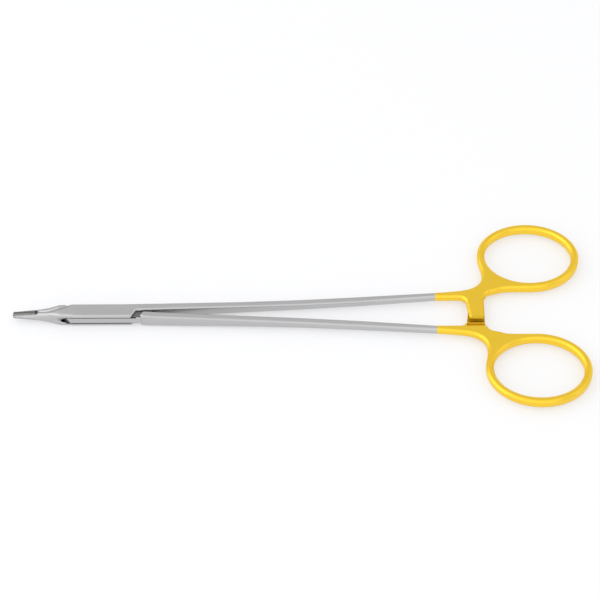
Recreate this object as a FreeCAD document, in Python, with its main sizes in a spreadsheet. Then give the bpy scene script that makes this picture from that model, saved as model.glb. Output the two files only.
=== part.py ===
import FreeCAD, Part
import Sketcher
import math
import os

# Surgical needle holder with a box lock, brazed carbide jaw inserts, a ratchet and two finger rings.
# Millimetres. X runs from the jaws to the rings, Y across the handles, Z up.
# Every body is drawn from the tip of the closed jaws, with Z = 0 in the middle of the thickness,
# and its Placement then sets the origin below the middle of the instrument, on the surface it lies on.

SIZES = [
    ("overall_length", 180.0),
    # box lock
    ("pivot_from_tip", 27.0),
    ("box_width", 5.1),
    ("box_thickness", 4.9),
    ("box_edge", 0.4),
    ("box_corner", 0.7),
    ("box_front_from_pivot", 8.42),
    ("plate_front_radius", 9.4),
    ("plate_heel_from_pivot", 10.25),
    ("plate_crotch_from_pivot", 11.75),
    ("plate_heel_radius", 0.9),
    ("plate_crotch_radius", 0.4),
    ("step_heel_from_pivot", 12.2),
    ("step_crotch_from_pivot", 14.0),
    ("step_corner", 0.6),
    ("back_radius", 60.0),
    ("taper_from_pivot", 6.0),
    ("shoulder_clearance", 0.1),
    ("web_thickness", 2.6),
    ("web_side_clearance", 0.03),
    ("web_inset", 0.05),
    ("web_edge", 0.15),
    ("web_corner", 0.4),
    ("web_mouth_from_pivot", 8.9),
    ("web_root_from_pivot", 14.0),
    ("web_root_height", 0.35),
    ("web_root_overlap", 1.2),
    ("slot_mouth_from_pivot", 11.15),
    ("slot_root_from_pivot", 17.5),
    ("slot_root_height", 0.2),
    ("slot_end_radius", 1.1),
    ("pin_diameter", 2.2),
    ("pin_seat_clearance", 0.01),
    ("pin_running_clearance", 0.03),
    # jaws
    ("tip_size", 1.4),
    ("tip_corner", 0.62),
    ("tip_curve_from_tip", 0.3),
    ("tip_curve_size", 1.95),
    ("tip_curve_corner", 0.85),
    ("nose_from_tip", 2.6),
    ("nose_width", 2.25),
    ("nose_thickness", 2.25),
    ("nose_corner", 1.0),
    ("grip_end_from_tip", 7.6),
    ("grip_end_width", 2.9),
    ("grip_end_thickness", 2.9),
    ("grip_end_corner", 1.0),
    ("throat_from_tip", 11.4),
    ("throat_width", 3.35),
    ("throat_thickness", 3.9),
    ("throat_corner", 0.8),
    ("hump_from_tip", 14.6),
    ("hump_width", 4.55),
    ("hump_thickness", 4.8),
    ("hump_corner", 0.5),
    ("mating_gap", 0.06),
    ("heel_drop", 0.35),
    ("heel_from_tip", 9.6),
    ("crease_from_tip", 13.9),
    ("crease_height", 0.35),
    ("crease_end_height", 1.6),
    ("waist_depth", 0.85),
    ("waist_radius", 1.2),
    ("waist_from_pivot", 9.8),
    ("insert_length", 7.0),
    ("insert_thickness", 0.8),
    ("insert_relief", 0.8),
    ("grip_pitch", 0.55),
    ("grip_depth", 0.13),
    # shanks
    ("shank_root_from_pivot", 17.0),
    ("seam_inset", 0.02),
    ("crotch_gap", 0.6),
    ("root_inner", 0.42),
    ("root_outer", 2.92),
    ("root_thickness", 4.44),
    ("lower_third_share", 0.31),
    ("lower_third_inner", 1.7),
    ("lower_third_outer", 3.9),
    ("lower_third_thickness", 3.35),
    ("middle_share", 0.516),
    ("middle_inner", 2.52),
    ("middle_outer", 4.78),
    ("middle_thickness", 2.82),
    ("upper_third_share", 0.73),
    ("upper_third_inner", 3.75),
    ("upper_third_outer", 5.98),
    ("upper_third_thickness", 2.62),
    ("shank_edge", 0.42),
    # handles
    ("handle_before_ring", 14.3),
    ("handle_inner", 5.6),
    ("handle_outer", 7.8),
    ("handle_thickness", 2.66),
    ("handle_edge", 0.65),
    ("ring_length", 32.6),
    ("ring_width", 27.2),
    ("ring_band", 2.35),
    ("ring_thickness", 3.2),
    ("ring_from_middle", 9.23),
    # ratchet
    ("bar_left_before_ring", 4.45),
    ("bar_left_lean", 1.1),
    ("bar_right_past_ring", 0.9),
    ("bar_reach", 2.8),
    ("bar_corner", 0.85),
    ("bar_root", 6.15),
    ("bar_fillet", 2.2),
    ("root_land", 0.6),
    ("tooth_pitch", 1.6),
    ("tooth_depth", 0.6),
    ("tooth_clearance", 0.12),
]

doc = FreeCAD.newDocument("NeedleHolder")
sheet = doc.addObject("Spreadsheet::Sheet", "Dims")
for row, (alias, value) in enumerate(SIZES, start=1):
    sheet.set("A%d" % row, alias)
    sheet.set("B%d" % row, str(value))
    sheet.setAlias("B%d" % row, alias)
doc.recompute()


def size(alias):
    return float(sheet.get(alias))


def point(x, y):
    return FreeCAD.Vector(x, y, 0)


# drawing helpers

def new_body(label):
    body = doc.addObject("PartDesign::Body", label)
    body.Label = label
    body.setExpression("Placement.Base.x", "-Dims.overall_length / 2")
    body.setExpression("Placement.Base.z", "Dims.box_thickness / 2")
    return body


def new_sketch(body, name, role, offset=None):
    sketch = body.newObject("Sketcher::SketchObject", name)
    plane = [item for item in body.Origin.OriginFeatures if item.Role == role][0]
    sketch.AttachmentSupport = [(plane, "")]
    sketch.MapMode = "FlatFace"
    if offset:
        sketch.setExpression("AttachmentOffset.Base.z", offset)
    return sketch


def rounded_path(corners, closed=False):
    """Lines through (x, y, radius) corners, with an arc at each corner that has a radius."""
    count = len(corners)
    arcs = []
    for i in range(count):
        x, y, radius = corners[i]
        corner = point(x, y)
        if radius == 0 or (not closed and i in (0, count - 1)):
            arcs.append((corner, None, corner))
            continue
        before = point(*corners[i - 1][:2]) - corner
        after = point(*corners[(i + 1) % count][:2]) - corner
        before.normalize()
        after.normalize()
        half = before.getAngle(after) / 2
        bisector = before + after
        bisector.normalize()
        reach = radius / math.tan(half)
        middle = corner + bisector * (radius / math.sin(half) - radius)
        arcs.append((corner + before * reach, middle, corner + after * reach))
    shapes = []
    for i in range(count):
        start, middle, end = arcs[i]
        if middle is not None:
            shapes.append(Part.Arc(start, middle, end))
        if i + 1 < count or closed:
            following = arcs[(i + 1) % count][0]
            if (following - end).Length > 1e-6:
                shapes.append(Part.LineSegment(end, following))
    return shapes


def spline(points, start=None, end=None):
    curve = Part.BSplineCurve()
    places = [point(x, y) for x, y in points]
    if start and end:
        curve.interpolate(Points=places, InitialTangent=point(*start), FinalTangent=point(*end))
    else:
        curve.interpolate(Points=places)
    return curve


def extrude(body, kind, sketch, name, length):
    """A pad or pocket to both sides of its sketch."""
    feature = body.newObject(kind, name)
    feature.Profile = sketch
    feature.SideType = "Symmetric"
    feature.Type = "Length"
    feature.setExpression("Length", length)
    doc.recompute()
    return feature


def pad(body, sketch, name, length):
    return extrude(body, "PartDesign::Pad", sketch, name, length)


def pocket(body, sketch, name, length="2 * Dims.box_thickness"):
    before = body.Shape.Volume
    feature = extrude(body, "PartDesign::Pocket", sketch, name, length)
    if feature.Shape.Volume > before - 1e-4:
        raise RuntimeError(name + " cuts nothing")
    return feature


def edge_names(base, wanted):
    """The names of the edges whose sample points all pass the test."""
    names = []
    for number, edge in enumerate(base.Shape.Edges, start=1):
        first, last = edge.ParameterRange
        places = [edge.valueAt(first + (last - first) * step / 4) for step in range(5)]
        if wanted(places):
            names.append("Edge%d" % number)
    return names


def bevel_edges(body, base, name, leg, wanted):
    bevel = body.newObject("PartDesign::Chamfer", name)
    bevel.Base = (base, edge_names(base, wanted))
    bevel.setExpression("Size", leg)
    doc.recompute()
    return bevel


def across(places):
    """True for an edge that lies in one plane across the instrument."""
    return max(p.x for p in places) - min(p.x for p in places) < 1e-4


def section(body, name, station, inner, outer, height, corner, side=1, bevelled=True):
    """A rectangle across the instrument, from an inner to an outer distance off the middle line.

    Its corners are bevelled at 45 degrees or rounded."""
    sketch = new_sketch(body, name, "YZ_Plane", station)
    near, far, full, cut = [float(sheet.evalExpression(text)) for text in (inner, outer, height, corner)]
    left, right = (near, far) if side > 0 else (-far, -near)
    low, high = -full / 2, full / 2
    corners = [
        (point(right - cut, low), point(right, low + cut)),
        (point(right, high - cut), point(right - cut, high)),
        (point(left + cut, high), point(left, high - cut)),
        (point(left, low + cut), point(left + cut, low)),
    ]
    # the four sides are numbered 0 to 3 from the bottom, and the corner after each one 4 to 7
    for i in range(4):
        sketch.addGeometry(Part.LineSegment(corners[i - 1][1], corners[i][0]), False)
    for i, (start, end) in enumerate(corners):
        if bevelled:
            sketch.addGeometry(Part.LineSegment(start, end), False)
        else:
            centre = point(min(max(start.x, left + cut), right - cut), min(max(start.y, low + cut), high - cut))
            circle = Part.Circle(centre, FreeCAD.Vector(0, 0, 1), cut)
            first = math.radians(90 * i - 90)
            sketch.addGeometry(Part.ArcOfCircle(circle, first, first + math.pi / 2), False)
    join = "Coincident" if bevelled else "Tangent"
    rules = [Sketcher.Constraint("Horizontal", i) for i in (0, 2)]
    rules += [Sketcher.Constraint("Vertical", i) for i in (1, 3)]
    for i in range(4):
        rules.append(Sketcher.Constraint(join, i, 2, 4 + i, 1))
        rules.append(Sketcher.Constraint(join, 4 + i, 2, (i + 1) % 4, 1))
    if not bevelled:
        rules += [Sketcher.Constraint("Equal", 4, i) for i in (5, 6, 7)]
    sketch.addConstraint(rules)
    driving = [
        (("DistanceY", 0, 1, 2, 1, full), height),
        (("DistanceY", 0, 1, -1, 1, high), "(%s) / 2" % height),
        (("DistanceX", 3, 1, 1, 1, right - left), "%s - (%s)" % (outer, inner)),
    ]
    # the far side of the rectangle is measured from the middle line
    if side > 0:
        driving.append((("DistanceX", -1, 1, 1, 1, right), outer))
    else:
        driving.append((("DistanceX", 3, 1, -1, 1, -left), outer))
    if bevelled:
        for i in range(4):
            across_ends = (4 + i, 1, 4 + i, 2) if i in (0, 3) else (4 + i, 2, 4 + i, 1)
            up_ends = (4 + i, 1, 4 + i, 2) if i in (0, 1) else (4 + i, 2, 4 + i, 1)
            driving.append((("DistanceX",) + across_ends + (cut,), corner))
            driving.append((("DistanceY",) + up_ends + (cut,), corner))
    else:
        driving.append((("Radius", 4, cut), corner))
    for rule, value in driving:
        number = sketch.addConstraint(Sketcher.Constraint(*rule))
        sketch.setExpression("Constraints[%d]" % number, value)
    return sketch


def loft(body, sketches, name):
    feature = body.newObject("PartDesign::AdditiveLoft", name)
    feature.Profile = sketches[0]
    feature.Sections = [(sketch, [""]) for sketch in sketches[1:]]
    feature.Ruled = True
    doc.recompute()
    return feature


# sizes that follow from the named ones

pivot = size("pivot_from_tip")
half_width = size("box_width") / 2
half_thickness = size("box_thickness") / 2
half_gap = size("mating_gap") / 2
root = pivot + size("shank_root_from_pivot")
far = size("overall_length")
ring_left = far - size("ring_length")
handle_start = ring_left - size("handle_before_ring")
shank_start = "(Dims.pivot_from_tip + Dims.shank_root_from_pivot)"
shank_end = "(Dims.overall_length - Dims.ring_length - Dims.handle_before_ring)"
# how far the cutting outlines reach past the metal
past = 1.0


# jaws

def jaw_form(body):
    """Both closed jaws as one tapered form, from the rounded tip to the front of the box."""
    jaw_names = ["tip", "tip_curve", "nose", "grip_end", "throat", "hump"]
    sketches = []
    for name in jaw_names:
        station = "0" if name == "tip" else "Dims.%s_from_tip" % name
        square = name in ("tip", "tip_curve")
        width = "Dims.%s_%s" % (name, "size" if square else "width")
        height = "Dims.%s_%s" % (name, "size" if square else "thickness")
        sketches.append(section(body, name + "_section", station, "-%s / 2" % width, "%s / 2" % width, height,
                                "Dims.%s_corner" % name, bevelled=False))
    inset = "Dims.seam_inset"
    half = "Dims.box_width / 2 - %s" % inset
    sketches.append(section(body, "front_section", "Dims.pivot_from_tip - Dims.box_front_from_pivot",
                            "-(%s)" % half, half, "Dims.box_thickness - 2 * %s" % inset, "Dims.box_corner",
                            bevelled=False))
    return loft(body, sketches, "JawForm")


def crease(offset):
    """The line on the top face where the jaw of one arm lies against the box of the other."""
    heel = size("heel_from_tip")
    middle = size("crease_from_tip")
    end_height = size("crease_end_height") + offset
    radius = size("plate_front_radius") + (size("shoulder_clearance") if offset > 0 else 0)
    end = pivot - math.sqrt(radius ** 2 - end_height ** 2)
    start = size("insert_length") + size("insert_relief")
    curve = spline([
        (start, offset),
        (heel, offset - size("heel_drop")),
        (middle, offset + size("crease_height")),
        (end, end_height),
    ])
    return curve, start, end, end_height, radius


def split_jaws(body, side):
    """Take away the other arm's half of the jaw form, and the seat of this arm's insert."""
    offset = side * half_gap
    curve, start, end, end_height, radius = crease(offset)
    seat = side * size("insert_thickness")
    over = half_width + 1
    shoulder = [
        point(end, end_height),
        point(pivot - math.sqrt(radius ** 2 - (end_height + 0.5) ** 2), end_height + 0.5),
        point(pivot - math.sqrt(radius ** 2 - over ** 2), over),
    ]
    sketch = new_sketch(body, "Split", "XY_Plane")
    sketch.addGeometry(curve, False)
    sketch.addGeometry(Part.Arc(*shoulder), False)
    if side < 0:
        outline = [(shoulder[2].x, over, 0), (-1, over, 0), (-1, seat, 0), (start, seat, 0), (start, offset, 0)]
    else:
        right = pivot + 1
        outline = [(shoulder[2].x, over, 0), (right, over, 0), (right, -over, 0), (-1, -over, 0)]
        outline += [(-1, seat, 0), (start, seat, 0), (start, offset, 0)]
    for shape in rounded_path(outline):
        sketch.addGeometry(shape, False)
    return pocket(body, sketch, "JawSplit")


# handles

def trim_thickness(body, name, flat_from, profile, end_slope):
    """Trim the top and bottom to a side profile: flat up to the first (x, half thickness) point, then a curve."""
    sketch = new_sketch(body, name + "Profile", "XZ_Plane")
    over = size("box_thickness")
    first_height = profile[0][1]
    last, last_height = profile[-1]
    for sign in (1, -1):
        curve = spline([(x, sign * z) for x, z in profile], (1, 0), (1, sign * end_slope))
        outline = [
            (last, sign * last_height, 0),
            (last, sign * over, 0),
            (flat_from, sign * over, 0),
            (flat_from, sign * first_height, 0),
            (profile[0][0], sign * first_height, 0),
        ]
        for shape in [curve] + rounded_path(outline):
            sketch.addGeometry(shape, False)
    return pocket(body, sketch, name, "4 * (Dims.ring_from_middle + Dims.ring_width)")


# The two free curves of a handle, as shares of the way between their end points, along X and along Y:
# the outer edge runs from the shank to the left of the ring, with a neck where it meets the ring,
# and the crook runs from the ratchet bar to the bottom of the ring.
OUTER_EDGE = [(0.448, 0.04), (0.818, 0.12), (1.014, 0.273), (1.07, 0.512), (1.021, 0.798)]
CROOK = [(0.02, 0.4), (0.085, 0.685), (0.24, 0.83)]


def handle(body, side):
    """Finger ring, ratchet bar and the end of the shank, as one flat forging with bevelled edges."""
    long_half = size("ring_length") / 2
    short_half = size("ring_width") / 2
    band = size("ring_band")
    ring_x = far - long_half
    ring_low = size("ring_from_middle")
    ring_y = ring_low + short_half
    inner = size("handle_inner")
    outer = size("handle_outer")
    right = ring_left + size("bar_right_past_ring")
    left = ring_left - size("bar_left_before_ring")
    lean = size("bar_left_lean") / 2
    reach = size("bar_reach")
    crook_low = inner - size("bar_corner") - size("bar_fillet") + 0.25
    edge_points = [(0, 0)] + OUTER_EDGE + [(1, 1)]
    outer_edge = spline([
        (handle_start + (ring_left - handle_start) * along, side * (outer + (ring_y - outer) * up))
        for along, up in edge_points
    ], (1, side * 0.07), (0, side))
    crook_points = [(0, 0)] + CROOK + [(1, 1)]
    crook = spline([
        (right + (ring_x - right) * along, side * (crook_low + (ring_low - crook_low) * up))
        for along, up in crook_points
    ], (0, side), (1, 0))
    bar = rounded_path([
        (right, side * crook_low, 0),
        (right, side * -reach, size("bar_corner")),
        (left + lean, side * -reach, size("bar_corner")),
        (left - lean, side * inner, size("bar_fillet")),
        (handle_start, side * inner, 0),
        (handle_start, side * outer, 0),
    ])
    ellipse = Part.Ellipse(point(ring_x, side * ring_y), long_half, short_half)
    # the ring's outer edge, from beside the crook round the far end to its left
    if side > 0:
        ring_edge = Part.ArcOfEllipse(ellipse, -math.pi / 2, math.pi)
    else:
        ring_edge = Part.ArcOfEllipse(ellipse, -math.pi, math.pi / 2)
    hole = Part.Ellipse(point(ring_x, side * ring_y), long_half - band, short_half - band)
    sketch = new_sketch(body, "HandleOutline", "XY_Plane")
    for shape in [outer_edge, crook, ring_edge, hole] + bar:
        sketch.addGeometry(shape, False)
    pad(body, sketch, "HandlePad", "Dims.ring_thickness + 1")
    thin = size("handle_thickness") / 2
    thick = size("ring_thickness") / 2
    taper = trim_thickness(body, "HandleTaper", handle_start - past, [
        (handle_start, thin),
        (left, thin),
        (ring_x, thick),
        (far + past, thick),
    ], 0)
    low = thin - 0.05
    return bevel_edges(body, taper, "HandleEdges", "Dims.handle_edge",
                       lambda places: min(abs(p.z) for p in places) > low
                       and max(p.x for p in places) > handle_start + 0.1
                       and not across(places))


def shank(body, side):
    """The tapered shank, between the box lock and the handle, a hair inside the faces that it joins."""
    stations = [
        ("root", "0", "Dims.box_edge", 1),
        ("lower_third", "Dims.lower_third_share", "Dims.shank_edge", 0),
        ("middle", "Dims.middle_share", "Dims.shank_edge", 0),
        ("upper_third", "Dims.upper_third_share", "Dims.shank_edge", 0),
        ("handle", "1", "Dims.handle_edge", 1),
    ]
    sketches = []
    for name, share, corner, seam in stations:
        station = "%s + (%s - %s) * %s" % (shank_start, shank_end, shank_start, share)
        inset = "%d * Dims.seam_inset" % seam
        sketches.append(section(body, name + "_section", station,
                                "Dims.%s_inner + %s" % (name, inset), "Dims.%s_outer - %s" % (name, inset),
                                "Dims.%s_thickness - 2 * %s" % (name, inset), corner, side))
    return loft(body, sketches, "Shank")


def ratchet(body, side):
    """Saw teeth on the inner side of the bar: the arm above has them below, and the other way round."""
    pitch = size("tooth_pitch")
    depth = size("tooth_depth")
    tip = side * size("tooth_clearance") / 2
    floor = tip + side * depth
    end = size("bar_root")
    over = side * -size("ring_thickness")
    corners = [(side * -(end + past), over, 0), (side * end, over, 0), (side * end, floor, 0)]
    y = end - size("root_land")
    while y - pitch > -size("bar_reach") - past:
        corners.append((side * y, floor, 0))
        corners.append((side * y, tip, 0))
        y -= pitch
    corners.append((side * -(end + past), tip + side * depth / 2, 0))
    ring_left_text = "Dims.overall_length - Dims.ring_length"
    bar_middle = "(Dims.bar_right_past_ring - Dims.bar_left_before_ring) / 2"
    sketch = new_sketch(body, "TeethOutline", "YZ_Plane", "%s + %s" % (ring_left_text, bar_middle))
    for shape in rounded_path(corners, closed=True):
        sketch.addGeometry(shape, False)
    return pocket(body, sketch, "Teeth",
                  "Dims.bar_right_past_ring + Dims.bar_left_before_ring + Dims.bar_left_lean")


# box lock

def lock_end(body, side, name):
    """The end of the box lock that runs into the shank, from the pivot plates or from the step behind them."""
    heel = pivot + (size("plate_heel_from_pivot") if side > 0 else size("step_heel_from_pivot"))
    crotch = pivot + (size("plate_crotch_from_pivot") if side > 0 else size("step_crotch_from_pivot"))
    inner = size("root_inner")
    outer = size("root_outer")
    front = pivot - size("box_front_from_pivot")
    gap = size("crotch_gap") / 2
    if side > 0:
        corners = [
            (front, -half_width, 0),
            (heel, -half_width, size("plate_heel_radius")),
            (crotch, gap - 0.2, size("plate_crotch_radius")),
            (root, inner, 0),
            (root, outer, 0),
            (heel - past, half_width, size("back_radius")),
            (front, half_width, 0),
        ]
    else:
        corners = [
            (heel, -half_width, size("plate_heel_radius")),
            (crotch, -gap, size("step_corner")),
            (root, -inner, 0),
            (root, -outer, 0),
        ]
    sketch = new_sketch(body, name, "XY_Plane")
    for shape in rounded_path(corners, closed=True):
        sketch.addGeometry(shape, False)
    pad(body, sketch, name + "Pad", "Dims.box_thickness + 1")
    start = pivot + size("taper_from_pivot")
    drop = half_thickness - size("root_thickness") / 2
    taper = trim_thickness(body, name + "Taper", front - past, [
        (start, half_thickness),
        (start + (root - start) * 0.5, half_thickness - drop * 0.27),
        (root, half_thickness - drop),
    ], -2 * drop / (root - start))
    low = size("root_thickness") / 2 - 0.01
    return bevel_edges(body, taper, name + "Edges", "Dims.box_edge",
                       lambda places: min(abs(p.z) for p in places) > low and not across(places))


def slot(body):
    """The slot through the box, with slanted end walls that the web swings clear of."""
    mouth = size("slot_mouth_from_pivot")
    deep = size("slot_root_from_pivot")
    root_height = size("slot_root_height")
    slope = (deep - mouth) / (half_width - root_height)
    corners = []
    for sign in (1, -1):
        corners.append((pivot - sign * (mouth - slope * past), -sign * (half_width + past), 0))
        corners.append((pivot - sign * (deep + past), -sign * (root_height - past / slope), 0))
        corners.append((pivot - sign * (deep + past), sign * (half_width + past), 0))
    sketch = new_sketch(body, "SlotOutline", "XY_Plane")
    for shape in rounded_path(corners, closed=True):
        sketch.addGeometry(shape, False)
    cut = pocket(body, sketch, "Slot", "Dims.web_thickness + 2 * Dims.web_side_clearance")
    # the front end of the slot is rounded, as the cutter leaves it
    half_slot = size("web_thickness") / 2 + size("web_side_clearance")
    names = edge_names(cut, lambda places: max(abs(abs(p.z) - half_slot) for p in places) < 1e-3
                       and max(p.x for p in places) < pivot - mouth + 0.1)
    rounding = body.newObject("PartDesign::Fillet", "SlotEnd")
    rounding.Base = (cut, names)
    rounding.setExpression("Radius", "Dims.slot_end_radius")
    doc.recompute()
    return rounding


def web(body):
    """The flat web of the through arm, from the root of its jaw to the root of its shank."""
    edge = half_width - size("web_inset")
    mouth = size("web_mouth_from_pivot")
    root_back = size("step_crotch_from_pivot") + size("web_root_overlap")
    front = pivot - size("plate_front_radius")
    corners = [
        (pivot - size("web_root_from_pivot"), size("web_root_height"), 0),
        (pivot - mouth, -edge, size("web_corner")),
        (pivot + size("step_heel_from_pivot") + past, -edge, 0),
        (pivot + root_back, -size("crotch_gap") / 2 - 0.1, 0),
        (pivot + mouth, edge, size("web_corner")),
        (front + past, edge, 0),
        (front - size("web_corner"), edge - size("waist_depth") - size("web_corner"), 0),
    ]
    sketch = new_sketch(body, "WebOutline", "XY_Plane")
    for shape in rounded_path(corners, closed=True):
        sketch.addGeometry(shape, False)
    plate = pad(body, sketch, "Web", "Dims.web_thickness")
    half_web = size("web_thickness") / 2
    return bevel_edges(body, plate, "WebEdges", "Dims.web_edge",
                       lambda places: max(abs(abs(p.z) - half_web) for p in places) < 1e-3
                       and max(p.y for p in places) < -edge + 1e-3)


def bore(body, clearance):
    sketch = new_sketch(body, "BoreCircle", "XY_Plane")
    radius = size("pin_diameter") / 2 + size(clearance)
    sketch.addGeometry(Part.Circle(point(pivot, 0), FreeCAD.Vector(0, 0, 1), radius), False)
    sketch.addConstraint(Sketcher.Constraint("PointOnObject", 0, 3, -1))
    across_x = sketch.addConstraint(Sketcher.Constraint("DistanceX", -1, 1, 0, 3, pivot))
    sketch.setExpression("Constraints[%d]" % across_x, "Dims.pivot_from_tip")
    diameter = sketch.addConstraint(Sketcher.Constraint("Diameter", 0, 2 * radius))
    sketch.setExpression("Constraints[%d]" % diameter, "Dims.pin_diameter + 2 * Dims.%s" % clearance)
    return pocket(body, sketch, "Bore")


# the five pieces

def make_box_arm():
    body = new_body("box_arm")
    lock_end(body, 1, "Box")
    handle(body, 1)
    shank(body, 1)
    jaw_form(body)
    split_jaws(body, -1)
    slot(body)
    ratchet(body, 1)
    bore(body, "pin_seat_clearance")
    return body


def make_through_arm():
    body = new_body("through_arm")
    lock_end(body, -1, "Step")
    handle(body, -1)
    shank(body, -1)
    jaw_form(body)
    split_jaws(body, 1)
    waist = new_sketch(body, "WaistCircle", "XY_Plane")
    radius = size("waist_radius")
    centre = point(pivot - size("waist_from_pivot"), half_width - size("waist_depth") + radius)
    waist.addGeometry(Part.Circle(centre, FreeCAD.Vector(0, 0, 1), radius), False)
    pocket(body, waist, "Waist")
    web(body)
    ratchet(body, -1)
    bore(body, "pin_running_clearance")
    return body


def grooves(first, last, face, inward):
    """An outline that dips into a face with a V groove at every pitch between two places."""
    pitch = size("grip_pitch")
    depth = size("grip_depth")
    clear = face - inward * 0.02
    out = face - inward
    corners = [(first - pitch, out, 0), (first - pitch, clear, 0)]
    count = int((last - first) / pitch)
    margin = (last - first - count * pitch) / 2
    for i in range(count):
        x = first + margin + (i + 0.5) * pitch
        corners.append((x - 0.4 * pitch, clear, 0))
        corners.append((x, face + inward * depth, 0))
        corners.append((x + 0.4 * pitch, clear, 0))
    corners += [(last + pitch, clear, 0), (last + pitch, out, 0)]
    return corners


def make_insert(label, side):
    """Carbide plate brazed into the jaw, flush with its rounded outside, with a cross-cut grip face."""
    body = new_body(label)
    jaw_form(body)
    near = side * half_gap
    deep = side * size("insert_thickness")
    length = size("insert_length")
    over = half_width + 1
    trim = new_sketch(body, "SlabOutline", "XY_Plane")
    around = [(-2, -over, 0), (pivot, -over, 0), (pivot, over, 0), (-2, over, 0)]
    slab = [(-1, near, 0), (length, near, 0), (length, deep, 0), (-1, deep, 0)]
    for shape in rounded_path(around, True) + rounded_path(slab, True):
        trim.addGeometry(shape, False)
    pocket(body, trim, "Slab")
    cross = new_sketch(body, "CrossGrooves", "XY_Plane")
    for shape in rounded_path(grooves(0.2, length - 0.1, near, side), True):
        cross.addGeometry(shape, False)
    pocket(body, cross, "CrossCut")
    half_height = size("grip_end_thickness") / 2
    along = new_sketch(body, "LongGrooves", "YZ_Plane")
    for shape in rounded_path([(y, x, 0) for x, y, _ in grooves(-half_height, half_height, near, side)], True):
        along.addGeometry(shape, False)
    pocket(body, along, "LongCut", "4 * Dims.insert_length")
    return body


def make_pin():
    body = new_body("pivot_pin")
    sketch = new_sketch(body, "PinCircle", "XY_Plane")
    sketch.addGeometry(Part.Circle(point(pivot, 0), FreeCAD.Vector(0, 0, 1), size("pin_diameter") / 2), False)
    sketch.addConstraint(Sketcher.Constraint("PointOnObject", 0, 3, -1))
    across_x = sketch.addConstraint(Sketcher.Constraint("DistanceX", -1, 1, 0, 3, pivot))
    sketch.setExpression("Constraints[%d]" % across_x, "Dims.pivot_from_tip")
    diameter = sketch.addConstraint(Sketcher.Constraint("Diameter", 0, size("pin_diameter")))
    sketch.setExpression("Constraints[%d]" % diameter, "Dims.pin_diameter")
    pad(body, sketch, "Pin", "Dims.box_thickness")
    return body


bodies = [
    make_box_arm(),
    make_through_arm(),
    make_pin(),
    make_insert("box_arm_insert", -1),
    make_insert("through_arm_insert", 1),
]
doc.recompute()

faults = []
for item in doc.Objects:
    if "Invalid" in item.State or "Error" in item.State:
        faults.append(item.Name)
for body in bodies:
    shape = body.Shape
    if shape.isNull() or not shape.isValid() or len(shape.Solids) != 1:
        faults.append(body.Label)
    print(body.Label, round(shape.Volume, 3), len(shape.Solids), len(shape.Faces), shape.BoundBox)
if faults:
    raise RuntimeError("Failed: " + ", ".join(faults))

os.makedirs("parts", exist_ok=True)
for body in bodies:
    body.Shape.exportStep("parts/%s.step" % body.Label)
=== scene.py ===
import bpy
import math
from mathutils import Matrix, Vector

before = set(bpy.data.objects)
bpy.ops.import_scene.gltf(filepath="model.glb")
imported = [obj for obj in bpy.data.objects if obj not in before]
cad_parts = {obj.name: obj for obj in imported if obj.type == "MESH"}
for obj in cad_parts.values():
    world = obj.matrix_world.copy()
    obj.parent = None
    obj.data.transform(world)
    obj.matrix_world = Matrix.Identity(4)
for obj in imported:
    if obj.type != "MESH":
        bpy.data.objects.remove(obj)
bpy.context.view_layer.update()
print("frame loaded:", sorted(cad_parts))


class Reading:
    # a number that varies over a surface, with ordinary arithmetic
    def __init__(self, bench, socket):
        self.bench = bench
        self.socket = socket

    def combine(self, operation, first, second):
        values = {0: first, 1: second}
        node = self.bench.add("ShaderNodeMath", {"operation": operation}, values)
        return self.bench.reading(node.outputs[0])

    def __add__(self, other):
        return self.combine("ADD", self, other)

    def __radd__(self, other):
        return self.combine("ADD", other, self)

    def __sub__(self, other):
        return self.combine("SUBTRACT", self, other)

    def __rsub__(self, other):
        return self.combine("SUBTRACT", other, self)

    def __mul__(self, other):
        return self.combine("MULTIPLY", self, other)

    def __rmul__(self, other):
        return self.combine("MULTIPLY", other, self)


class Bench:
    # where the nodes of one material are put together
    def __init__(self, tree):
        self.tree = tree

    def add(self, kind, settings=None, sockets=None):
        node = self.tree.nodes.new(kind)
        for name, value in (settings or {}).items():
            setattr(node, name, value)
        for name, value in (sockets or {}).items():
            if isinstance(value, Reading):
                value = value.socket
            if isinstance(value, bpy.types.NodeSocket):
                self.tree.links.new(value, node.inputs[name])
            else:
                node.inputs[name].default_value = value
        return node

    def reading(self, socket):
        return Reading(self, socket)

    def colourMix(self, mask, first, second):
        # a colour written as three numbers gets the fourth that its socket wants
        ends = [(*end, 1.0) if isinstance(end, tuple) else end for end in (first, second)]
        node = self.add("ShaderNodeMix", {"data_type": "RGBA"}, {0: mask, 6: ends[0], 7: ends[1]})
        return node.outputs[2]

    def normalMix(self, mask, first, second):
        node = self.add("ShaderNodeMix", {"data_type": "VECTOR"}, {0: mask, 4: first, 5: second})
        return node.outputs[1]


def freshMaterial(name):
    material = bpy.data.materials.new(name)
    material.use_nodes = True
    tree = material.node_tree
    tree.nodes.clear()
    return material, Bench(tree)


def stretchedNoise(bench, place, scale, detail):
    moved = bench.add("ShaderNodeMapping", {}, {"Vector": place, "Scale": scale})
    noise = bench.add("ShaderNodeTexNoise", {}, {
        "Vector": moved.outputs[0],
        "Scale": 1.0,
        "Detail": detail,
    })
    return bench.reading(noise.outputs["Fac"])


def ramp(bench, value, low, high):
    # nought below low, one above high and even between them
    ranged = bench.add("ShaderNodeMapRange", {"clamp": True}, {
        "Value": value,
        "From Min": low,
        "From Max": high,
    })
    return bench.reading(ranged.outputs[0])


def softStep(bench, value, edge, blend):
    return ramp(bench, value, edge - blend, edge + blend)


def band(bench, value, low, high):
    # one from low to high and nought elsewhere
    node = bench.add("ShaderNodeMath", {"operation": "COMPARE"}, {
        0: value,
        1: (low + high) / 2,
        2: (high - low) / 2,
    })
    return bench.reading(node.outputs[0])


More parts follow.
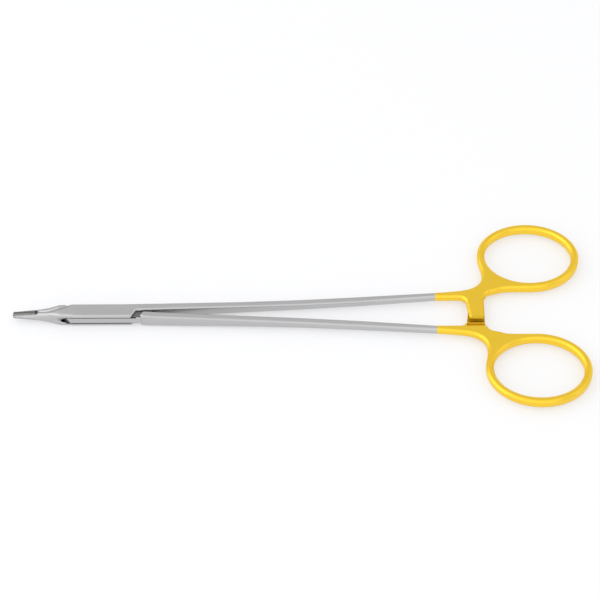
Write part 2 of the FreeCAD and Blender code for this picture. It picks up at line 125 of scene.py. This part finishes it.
def patch(bench, split, area):
    # one over an area seen from above, at any height
    along = band(bench, split.outputs["X"], *area["along"])
    return along * band(bench, split.outputs["Y"], *area["across"])


def metalSurface(bench, colour, roughness, relief):
    # relief is what the Bump node's sockets get
    bump = bench.add("ShaderNodeBump", {}, relief)
    metal = bench.add("ShaderNodeBsdfPrincipled", {}, {
        "Base Color": colour,
        "Metallic": 1.0,
        "Roughness": roughness,
        "Normal": bump.outputs[0],
    })
    bench.add("ShaderNodeOutputMaterial", {}, {"Surface": metal.outputs[0]})


steelFinish = {
    "colour": (0.56, 0.56, 0.56),
    "shade": (0.51, 0.51, 0.515),
    "roughness": 0.24,
    "roughnessSwing": 0.08,
    "markWidth": 0.00012,      # the fine marks left by the belt, drawn out along the length
    "markLength": 0.0030,
    "markDetail": 3.0,
    "markDepth": 0.00004,
    "markStrength": 0.04,
    "cloudScale": (70, 220, 220),
    "cloudDetail": 2.0,
}


def beltMarks(bench, place):
    across = 1 / steelFinish["markWidth"]
    marks = (1 / steelFinish["markLength"], across, across)
    grain = stretchedNoise(bench, place, marks, steelFinish["markDetail"])
    cloud = stretchedNoise(bench, place, steelFinish["cloudScale"], steelFinish["cloudDetail"])
    return grain, cloud


def markRelief(grain):
    return {
        "Height": grain,
        "Strength": steelFinish["markStrength"],
        "Distance": steelFinish["markDepth"],
    }


def plainSteel():
    material, bench = freshMaterial("groundSteel")
    place = bench.add("ShaderNodeTexCoord").outputs["Object"]
    grain, cloud = beltMarks(bench, place)
    colour = bench.colourMix(cloud, steelFinish["shade"], steelFinish["colour"])
    swing = (grain + cloud - 1.0) * steelFinish["roughnessSwing"]
    metalSurface(bench, colour, steelFinish["roughness"] + swing, markRelief(grain))
    return material


goldFinish = {
    "starts": 0.0431,          # the plating begins here on both shanks
    "blend": 0.00006,
    "colour": (0.99, 0.67, 0.060),
    "shade": (0.95, 0.62, 0.048),
    "roughness": 0.30,
}

# painted shade: near black on steel and dark gold on the plating, mixed into the arms' colour where
# the AO node finds a groove or a gap between parts
creviceShade = {
    "steel": (0.05, 0.05, 0.05),
    "gold": (0.30, 0.26, 0.03),
    "reach": 0.0012,
    "openness": (0.10, 0.62),  # fully shaded at the first and unshaded at the second
    "samples": 8,
}

lockSeamShade = {
    # painted shade: a near-black line where the web of one arm shows in the slot of the other,
    # standing in for the shadow in that narrow gap
    "colour": (0.02, 0.02, 0.02),
    "heights": (0.00121, 0.00369),
    "half": 0.00015,
    "flanks": [
        {"along": (-0.0735, -0.0512), "across": (-1.0, -0.0022)},
        {"along": (-0.0724, -0.0541), "across": (0.0022, 1.0)},
    ],
}

stepHollowShade = {
    # painted shade on the low ground between the plate of the box and the shank behind it
    "colour": (0.20, 0.20, 0.20),
    "along": (-0.0529, -0.0490),
    "across": (-0.0022, 0.0022),
    "heights": (0.00350, 0.00386),
}

ratchetEndShade = {
    # painted shade on the end of the upper ratchet bar and its bevel, which face the lower bar
    # closely
    "colour": (0.62, 0.43, 0.03),
    "along": (0.0515, 0.0592),
    "across": (-0.0034, -0.00215),
}

edgeRounding = {
    "radius": 0.00045,
    "jawRadius": 0.0013,       # the jaws are blended by hand and have softer edges
    "jawEnd": -0.0725,
    "jawBlend": 0.0020,
    "samples": 6,
}

pinFace = {
    # round the pin the box is ground flush, so its bore shows no rounded edge
    "along": (-0.0648, -0.0612),
    "across": (-0.0018, 0.0018),
}


def openness(bench):
    # one on open faces, falling to nought in the bottom of a groove
    hollow = bench.add("ShaderNodeAmbientOcclusion", {"samples": creviceShade["samples"]},
                       {"Distance": creviceShade["reach"]})
    return ramp(bench, hollow.outputs["AO"], *creviceShade["openness"])


# mask of the painted shade line along the lock's seam
def seamShadeMask(bench, split):
    half = lockSeamShade["half"]
    low, high = (band(bench, split.outputs["Z"], height - half, height + half)
                 for height in lockSeamShade["heights"])
    near, far = (patch(bench, split, flank) for flank in lockSeamShade["flanks"])
    return (low + high) * (near + far)


# mask of the painted shade in the hollow behind the plate
def hollowShadeMask(bench, split):
    ground = patch(bench, split, stepHollowShade)
    return ground * band(bench, split.outputs["Z"], *stepHollowShade["heights"])


def armColour(bench, split, gold, cloud):
    steel = bench.colourMix(cloud, steelFinish["shade"], steelFinish["colour"])
    plating = bench.colourMix(cloud, goldFinish["shade"], goldFinish["colour"])
    unshaded = bench.colourMix(gold, steel, plating)
    dark = bench.colourMix(gold, creviceShade["steel"], creviceShade["gold"])
    # painted shade in grooves and between parts
    colour = bench.colourMix(openness(bench), dark, unshaded)
    # painted shade line along the lock's seam
    colour = bench.colourMix(seamShadeMask(bench, split), colour, lockSeamShade["colour"])
    # painted shade in the hollow behind the plate
    colour = bench.colourMix(hollowShadeMask(bench, split), colour, stepHollowShade["colour"])
    # painted shade on the end of the upper ratchet bar
    return bench.colourMix(patch(bench, split, ratchetEndShade), colour, ratchetEndShade["colour"])


def roundedNormal(bench, radius):
    bevel = bench.add("ShaderNodeBevel", {"samples": edgeRounding["samples"]}, {"Radius": radius})
    return bevel.outputs[0]


def armNormal(bench, split):
    jaw = roundedNormal(bench, edgeRounding["jawRadius"])
    rest = roundedNormal(bench, edgeRounding["radius"])
    behindJaw = softStep(bench, split.outputs["X"], edgeRounding["jawEnd"], edgeRounding["jawBlend"])
    edges = bench.normalMix(behindJaw, jaw, rest)
    flat = bench.add("ShaderNodeNewGeometry").outputs["Normal"]
    return bench.normalMix(patch(bench, split, pinFace), edges, flat)


def platedSteel():
    material, bench = freshMaterial("platedSteel")
    place = bench.add("ShaderNodeTexCoord").outputs["Object"]
    split = bench.add("ShaderNodeSeparateXYZ", {}, {0: place})
    gold = softStep(bench, split.outputs["X"], goldFinish["starts"], goldFinish["blend"])
    grain, cloud = beltMarks(bench, place)
    swing = (grain + cloud - 1.0) * steelFinish["roughnessSwing"]
    duller = goldFinish["roughness"] - steelFinish["roughness"]
    roughness = steelFinish["roughness"] + gold * duller + swing
    relief = markRelief(grain)
    relief["Normal"] = armNormal(bench, split)
    metalSurface(bench, armColour(bench, split, gold, cloud), roughness, relief)
    return material


carbideFinish = {
    "colour": (0.27, 0.265, 0.26),
    "shade": (0.20, 0.197, 0.195),
    "roughness": 0.42,
    "roughnessSwing": 0.12,
    "speckle": 0.00018,        # width of the grains
    "speckleDetail": 2.0,
    "speckleDepth": 0.00005,
    "speckleStrength": 0.12,
}


def carbide():
    material, bench = freshMaterial("carbide")
    place = bench.add("ShaderNodeTexCoord").outputs["Object"]
    dots = 1 / carbideFinish["speckle"]
    speckle = stretchedNoise(bench, place, (dots, dots, dots), carbideFinish["speckleDetail"])
    colour = bench.colourMix(speckle, carbideFinish["shade"], carbideFinish["colour"])
    swing = (speckle - 0.5) * carbideFinish["roughnessSwing"]
    metalSurface(bench, colour, carbideFinish["roughness"] + swing, {
        "Height": speckle,
        "Strength": carbideFinish["speckleStrength"],
        "Distance": carbideFinish["speckleDepth"],
    })
    return material


def finishPiece(name, material):
    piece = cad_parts[name]
    piece.data.materials.clear()
    piece.data.materials.append(material)


armMetal = platedSteel()
insertMetal = carbide()
finishPiece("box_arm", armMetal)
finishPiece("through_arm", armMetal)
finishPiece("pivot_pin", plainSteel())
finishPiece("box_arm_insert", insertMetal)
finishPiece("through_arm_insert", insertMetal)
print("metal finished")


floorFinish = {
    "size": 6.0,
    "colour": (0.915, 0.92, 0.95),
    "roughness": 0.9,
    "gloss": 0.1,
    "white": 0.5,              # share of plain white in the floor that is seen and mirrored
}


def layFloor():
    bpy.ops.object.select_all(action="DESELECT")
    bpy.ops.mesh.primitive_plane_add(size=floorFinish["size"], location=(0, 0, 0))
    floor = bpy.context.object
    floor.name = "floor"
    material, bench = freshMaterial("paleFloor")
    paint = bench.add("ShaderNodeBsdfPrincipled", {}, {
        "Base Color": (*floorFinish["colour"], 1.0),
        "Roughness": floorFinish["roughness"],
        "Specular IOR Level": floorFinish["gloss"],
    })
    white = bench.add("ShaderNodeEmission", {}, {"Color": (1, 1, 1, 1), "Strength": 1.0})
    path = bench.add("ShaderNodeLightPath")
    seen = bench.reading(path.outputs["Is Camera Ray"])
    for kind in ("Is Glossy Ray", "Is Transmission Ray"):
        seen = seen + bench.reading(path.outputs[kind])
    surface = bench.add("ShaderNodeMixShader", {}, {
        0: seen * floorFinish["white"],
        1: paint.outputs[0],
        2: white.outputs[0],
    })
    bench.add("ShaderNodeOutputMaterial", {}, {"Surface": surface.outputs[0]})
    floor.data.materials.append(material)


studio = {
    "sky": 0.80,               # grey of the room that the metal mirrors
    "aim": (0.0, 0.0, 0.0),    # every lamp is turned to this point
    "lamps": [
        {"name": "left", "place": (-0.80, -0.02, 0.75), "size": 1.5, "power": 5.0},
        {"name": "right", "place": (0.80, -0.02, 0.75), "size": 1.0, "power": 1.0},
        {"name": "front", "place": (0.0, -0.75, 0.55), "size": 1.2, "power": 1.6},
    ],
}


def fillAir():
    world = bpy.data.worlds.new("studioAir")
    world.use_nodes = True
    air = world.node_tree.nodes["Background"]
    air.inputs["Color"].default_value = (studio["sky"], studio["sky"], studio["sky"], 1.0)
    air.inputs["Strength"].default_value = 1.0
    bpy.context.scene.world = world


def hangLamps():
    for lamp in studio["lamps"]:
        light = bpy.data.lights.new(lamp["name"], "AREA")
        light.size = lamp["size"]
        light.energy = lamp["power"]
        holder = bpy.data.objects.new(lamp["name"], light)
        holder.location = lamp["place"]
        aim = Vector(studio["aim"]) - Vector(lamp["place"])
        holder.rotation_euler = aim.to_track_quat("-Z", "Y").to_euler()
        bpy.context.collection.objects.link(holder)


viewpoint = {
    "tilt": 40.0,              # degrees that the lens is turned up from looking straight down
    "roll": -0.266,
    "aim": (0.000297, 0.005669, 0.00245),
    "distance": 0.61008,
    "lens": 115.557,
    "sensor": 36.0,
    "nearest": 0.01,
}


def placeCamera():
    lens = bpy.data.cameras.new("photoView")
    lens.lens = viewpoint["lens"]
    lens.sensor_width = viewpoint["sensor"]
    lens.clip_start = viewpoint["nearest"]
    camera = bpy.data.objects.new("photoView", lens)
    turn = Matrix.Rotation(math.radians(viewpoint["tilt"]), 4, "X")
    turn = turn @ Matrix.Rotation(math.radians(viewpoint["roll"]), 4, "Z")
    back = turn @ Vector((0, 0, viewpoint["distance"]))
    camera.matrix_world = Matrix.Translation(Vector(viewpoint["aim"]) + back) @ turn
    bpy.context.collection.objects.link(camera)
    bpy.context.scene.camera = camera


layFloor()
fillAir()
hangLamps()
placeCamera()
bpy.context.scene.view_settings.view_transform = "Standard"
print("studio set")
